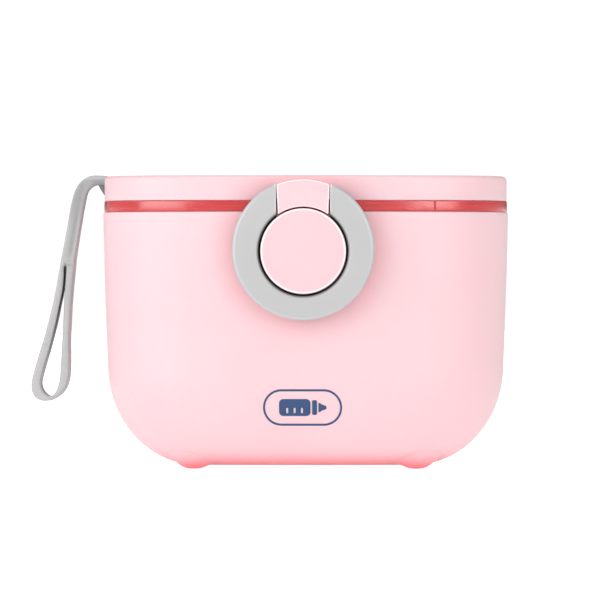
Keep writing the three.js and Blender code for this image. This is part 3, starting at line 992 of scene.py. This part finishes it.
# ---- ring latch ----
def make_latch_ring():
    """An open ring: flat face, thin rim edge and a deep bevel down to the catch."""
    depth = RING_BACK_Y - RING_FRONT_Y
    rim = [(RING_R, -1.25), (RING_R - 0.15, -0.7), (RING_R - 0.6, -0.2), (RING_R - 1.1, -0.02)]
    bevels = ((2.2, 0), (1.4, -0.06), (0.6, -0.4), (0.15, -1.1), (0, -2.2))
    lip = [(BORE_R + out, drop) for out, drop in bevels]
    section = [
        *[(BORE_R, 1.2), (CATCH_R + 0.2, 1.0), (CATCH_R + 0.2, 0.2), (BORE_R, 0)],
        *[(RING_R - 0.9, 0), (RING_R - 0.3, 0.25), (RING_R, 0.9)],
        *[(r, depth + d) for r, d in smooth_line(rim, 3)],
        *[(r, depth + d) for r, d in smooth_line(lip, 3)],
    ]
    steps = 240
    grid = []
    for radius, depth_in in section:
        half = LUG_FOOT_X + LUG_GAP + (LUG_TOP_X - LUG_FOOT_X) * (radius / RING_R - 0.5)
        gap = math.asin(half / radius)
        turn = np.linspace(gap, 2 * math.pi - gap, steps)
        flat = np.full(steps, RING_BACK_Y - depth_in)
        outward = np.clip((radius - BORE_R) / (RING_R - BORE_R), 0, 1)
        centre_z = CATCH_Z + (RING_Z - CATCH_Z) * outward
        grid.append(np.stack([radius * np.sin(turn), flat, centre_z + radius * np.cos(turn)], 1))
    grid = np.array(grid)
    size = len(section)
    verts = grid.transpose(1, 0, 2).reshape(-1, 3)
    faces = []
    for i in range(steps - 1):
        a, b = i * size, (i + 1) * size
        faces += [(a + j, a + (j + 1) % size, b + (j + 1) % size, b + j) for j in range(size)]
    faces += [tuple(range(size)), tuple(range((steps - 1) * size, steps * size))]
    ring = bevel(piece("latch_ring_body", verts, faces), 0.35)
    bore = rod("bore", LATCH_PIN_R + 0.15, -14.4, 14.4, LATCH_PIN_Y, LATCH_PIN_Z)
    boolean(ring, bore, "DIFFERENCE")
    finish_piece(ring, grey_plastic, "latch_ring", "ring_grey", "latch_ring")

    def on_front(c, n):
        return -0.97 < n.y < -0.2 and c.y < (RING_FRONT_Y + 1.6) * MM

    def outer_edge(c, n):
        return on_front(c, n) and math.hypot(c.x, c.z - RING_Z * MM) > (RING_R - 2) * MM

    def end_edge(c, n):
        return on_front(c, n) and abs(c.x) < (LUG_TOP_X + 0.9) * MM and c.z > (RING_Z + 14) * MM

    # Painted highlights: a lighter, bluer grey on the outer rim bevel and a pale grey on the ends
    # beside the lug.
    paint_edge_light_and_shade(ring, grey_edge_highlight, outer_edge)
    paint_edge_light_and_shade(ring, grey_corner_highlight, end_edge)


# ---- carry strap ----
# The strap seen from the front. Each row crosses the band: x, z of its outer edge, then of its inner.
STEM_ROWS = [
    (-73.6, 106.9, -73.6, 103.7),
    (-75.0, 107.1, -75.0, 103.6),
    (-76.6, 107.2, -76.4, 103.6),
    (-78.6, 107.2, -77.9, 103.5),
    (-80.3, 106.85, -78.9, 103.1),
    (-81.9, 106.05, -79.7, 102.5),
    (-83.3, 104.95, -80.4, 101.7),
    (-84.4, 103.75, -80.95, 100.8),
    (-85.2, 102.4, -81.3, 99.6),
    (-85.9, 100.8, -81.6, 98.3),
    (-86.6, 98.4, -82.0, 96.2),
    (-87.25, 95.6, -82.5, 93.6),
    (-88.0, 91.3, -83.1, 89.6),
    (-88.8, 86.8, -83.75, 85.6),
    (-89.6, 82.4, -84.35, 81.6),
    (-90.3, 79.0, -84.8, 78.6),
    (-90.9, 75.9, -85.2, 75.4),
]
EYE_ROWS = [
    (-91.3, 73.4, -89.1, 73.2),
    (-92.1, 69.0, -89.25, 68.7),
    (-92.9, 64.5, -89.8, 63.9),
    (-93.8, 60.1, -90.75, 59.3),
    (-94.85, 55.6, -91.7, 54.6),
    (-96.0, 51.2, -92.75, 50.0),
    (-97.3, 46.7, -93.9, 45.5),
    (-98.7, 42.3, -95.1, 41.2),
    (-100.0, 37.8, -96.4, 36.9),
    (-101.25, 33.4, -97.45, 33.0),
    (-101.9, 30.0, -97.95, 30.2),
    (-101.75, 27.3, -97.6, 28.4),
    (-100.6, 25.1, -96.9, 27.0),
    (-98.8, 23.9, -96.0, 26.0),
    (-96.4, 23.5, -94.9, 25.4),
    (-93.9, 24.0, -93.7, 25.7),
    (-91.5, 25.3, -92.7, 27.0),
    (-89.5, 27.2, -91.9, 29.1),
    (-88.2, 29.6, -91.4, 31.4),
    (-87.4, 33.0, -91.1, 34.4),
    (-87.2, 37.8, -90.85, 38.6),
    (-87.2, 42.3, -90.6, 42.9),
    (-87.2, 47.0, -90.3, 47.2),
    (-87.0, 52.0, -90.05, 52.2),
    (-86.75, 57.5, -89.8, 57.7),
    (-86.4, 62.5, -89.6, 62.7),
    (-85.95, 67.5, -89.2, 67.9),
    (-85.4, 73.0, -88.85, 73.2),
]


def strap_turn(z):
    """The eye hangs a little turned, and the stem straightens out towards the root."""
    t = np.clip((101 - z) / 26, 0, 1)
    return math.radians(STRAP_TURN) * t * t * (3 - 2 * t)


def make_strap():
    """A silicone band with a long eye: rounded edges and a groove where the stem's two strands meet."""
    half = STRAP_WIDTH / 2
    stem = smooth_line(STEM_ROWS, 4)
    eye = smooth_line(EYE_ROWS, 4)
    # What the turned faces add to the width seen from the front is taken off here.
    shown = half * np.sin(strap_turn(eye[:, 1]))
    way = np.gradient(eye[:, :2], axis=0)
    down = -way[:, 1] / np.hypot(way[:, 0], way[:, 1])
    eye[:, 0] += down * shown
    eye[:, 2] -= down * shown
    stem[:, 0] += half * np.sin(strap_turn(stem[:, 1]))
    stem[:, 2] -= half * np.sin(strap_turn(stem[:, 3]))

    groove = stem[:, :2] * 0.45 + stem[:, 2:] * 0.55
    depth = 0.45 * np.clip((106 - groove[:, 1]) / 4, 0, 1)
    points, faces = [], []

    def both(x, z, sink=0.0):
        """A point on the front face and its partner on the back face."""
        points.extend([(x, -half + sink, z), (x, half - sink, z)])
        return len(points) - 2

    stem_rows = [
        (both(*row[:2]), both(*middle, sink), both(*row[2:]))
        for row, middle, sink in zip(stem, groove, depth)
    ]
    eye_rows = [(both(a, b), both(c, d)) for a, b, c, d in eye]
    top = both(*SLIT_TOP, 0.45)

    def both_faces(*corners):
        faces.append(corners)
        faces.append(tuple(c + 1 for c in reversed(corners)))

    def wall(*line):
        for a, b in zip(line, line[1:]):
            faces.append((a, b, b + 1, a + 1))

    for (a, m, b), (c, n, d) in zip(stem_rows, stem_rows[1:]):
        both_faces(a, m, n, c)
        both_faces(m, b, d, n)
    for (a, b), (c, d) in zip(eye_rows, eye_rows[1:]):
        both_faces(a, b, d, c)
    (a, m, b), first, last = stem_rows[-1], eye_rows[0], eye_rows[-1]
    both_faces(a, m, top, first[1], first[0])
    both_faces(m, b, last[0], last[1], top)
    outside = [row[0] for row in (*stem_rows, *eye_rows)]
    wall(*outside, *(row[2] for row in reversed(stem_rows)))
    wall(*reversed(stem_rows[0]))
    wall(top, *(row[1] for row in eye_rows), top)

    strap = piece("strap_band", points, faces)
    bevel(strap, 1.0, 5, corner=50, use_clamp_overlap=False, miter_outer="MITER_ARC")
    for vert in strap.data.vertices:
        x, y, z = vert.co / MM
        x -= STRAP_TURN_X
        turn = strap_turn(z)
        vert.co.x = (STRAP_TURN_X + x * math.cos(turn) + y * math.sin(turn)) * MM
        vert.co.y = (y * math.cos(turn) - x * math.sin(turn)) * MM
    tidy_mesh(strap.data, 50)
    strap.data.materials.append(grey_silicone)
    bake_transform(strap)
    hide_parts("carry_strap")


def make_strap_anchor():
    """The dark plug under the strap's root, and its head inside the lid."""
    wall = -HALF_X + SKIRT_INSET
    slope = ((2.6, 105.6), (2.6, 104.0), (1.9, 102.4), (0.3, 99.9), (0.05, 99.7), (0.05, 105.6))
    shape = [(wall - out, z) for out, z in slope]
    anchor = slab("strap_plug", shape, "xz", -3.4, 3.4, 0.3)
    neck = [(wall - 1, 101.5), (wall + 4, 101.5), (wall + 4, 103.7), (wall - 1, 103.7)]
    boolean(anchor, slab("neck", neck, "xz", -3.2, 3.2, 0.2), "UNION")
    finish_piece(anchor, dark_silicone, "lid", "strap_grey", "strap_anchor")


# ---- scoop ----
def make_scoop():
    """A measuring scoop: a flared cup with a rolled lip and a rounded handle with a thumb dish."""
    low, high = span("scoop")
    radius = (high[1] - low[1]) / 2
    x0, y0 = low[0] + radius, (low[1] + high[1]) / 2
    bottom, top = low[2], high[2]
    wall = 1.3
    outside = [(0.1, bottom), (radius - 5, bottom), *arc((radius - 4, bottom + 1.6), 1.6, -90, -10, 6)]
    outside += [(radius - 0.6, top - 3), (radius, top - 1.2)]
    lip = arc((radius - wall / 2, top - wall / 2), wall / 2, 0, 180, 8)
    inside = [(radius - wall - 0.4, top - 3), (radius - 4.0, bottom + 2.8)]
    inside += [(radius - 5.4, bottom + wall), (0.1, bottom + wall)]
    cup = turned("measure_scoop", [*outside, *lip, *inside], (x0, y0, 0), "z", 128)
    half, thick = 4, 2.4
    tip = arc((high[0] - half, y0), half, -90, 90, 24)
    shape = [(x0 + radius - 1.0, y0 - half), *tip, (x0 + radius - 1.0, y0 + half)]
    handle = slab("handle", shape, "xy", top - thick, top, 0.6)
    boolean(cup, handle, "UNION")
    finish_piece(cup, white_plastic, "scoop", "liner_white", "scoop")


# ---- printed emblem ----
def stadium(half_x, half_z):
    """A pill's outline about the origin."""
    side = half_x - half_z
    return [*arc((side, 0), half_z, -90, 90, 28), *arc((-side, 0), half_z, 90, 270, 28)]


def rounded_box(x0, x1, half_z, radius, centre_z=0.0):
    """The outline of a box with rounded corners."""
    left, right, half_z = x0 + radius, x1 - radius, half_z - radius
    corners = [(right, -half_z), (right, half_z), (left, half_z), (left, -half_z)]
    starts = (-90, 0, 90, 180)
    made = []
    for (x, z), start in zip(corners, starts):
        made += arc((x, centre_z + z), radius, start, start + 90, 6)
    return made


def make_emblem():
    """A small navy print: a pill outline with a lying feeding bottle."""
    curve = bpy.data.curves.new("emblem", "CURVE")
    curve.dimensions = "2D"
    curve.fill_mode = "BOTH"
    frame_line = [stadium(14.5, 6.7), stadium(13.75, 5.95)]
    bottle = rounded_box(-8.6, 2.9, 3.1, 1.5)
    marks = [rounded_box(x, x + 0.75, 1.0, 0.35, -1.1) for x in (-6.0, -3.3, -0.6)]
    collar = rounded_box(3.5, 5.3, 2.7, 0.5)
    teat_x, teat_r = 5.8, 1.7
    tip = arc((8.0, 0), 0.8, -60, 60, 8)
    teat = [*arc((teat_x, 0), teat_r, -90, -40, 4), *tip, *arc((teat_x, 0), teat_r, 40, 90, 4)]
    for shape in (*frame_line, bottle, *marks, collar, teat):
        spline = curve.splines.new("POLY")
        spline.points.add(len(shape) - 1)
        for point, (x, z) in zip(spline.points, shape):
            point.co = (x, z, 0, 1)
        spline.use_cyclic_u = True
    holder = bpy.data.objects.new("emblem", curve)
    scene.collection.objects.link(holder)
    evaluated = holder.evaluated_get(bpy.context.evaluated_depsgraph_get())
    mesh = bpy.data.meshes.new_from_object(evaluated)
    bpy.data.objects.remove(holder)
    work = bmesh.new()
    work.from_mesh(mesh)
    bmesh.ops.remove_doubles(work, verts=work.verts, dist=1e-4)
    long_edges = [e for e in work.edges if e.calc_length() > 1.2]
    bmesh.ops.subdivide_edges(work, edges=long_edges, cuts=6)
    bmesh.ops.triangulate(work, faces=work.faces)
    centre_x, centre_z = -0.4, 21.6
    for vert in work.verts:
        x, z = vert.co.x + centre_x, vert.co.y + centre_z
        vert.co = Vector((x, front_y(x, z, 0.03), z)) * MM
    work.to_mesh(mesh)
    work.free()
    print_piece = bpy.data.objects.new("printed_emblem", mesh)
    scene.collection.objects.link(print_piece)
    apply_modifier(print_piece, "SOLIDIFY", thickness=0.06 * MM, offset=0)
    tidy_mesh(print_piece.data, 35)
    finish_piece(print_piece, navy_print, "tub", None)


make_tub()
for node_name in ("foot_front_left", "foot_front_right", "foot_rear_left", "foot_rear_right"):
    make_foot(node_name)
make_catch()
make_leveller()
make_frame_seal()
make_hinge_pin()
make_lid()
make_liner()
make_lid_gasket()
make_latch_pin()
make_latch_ring()
make_strap()
make_strap_anchor()
make_scoop()
make_emblem()
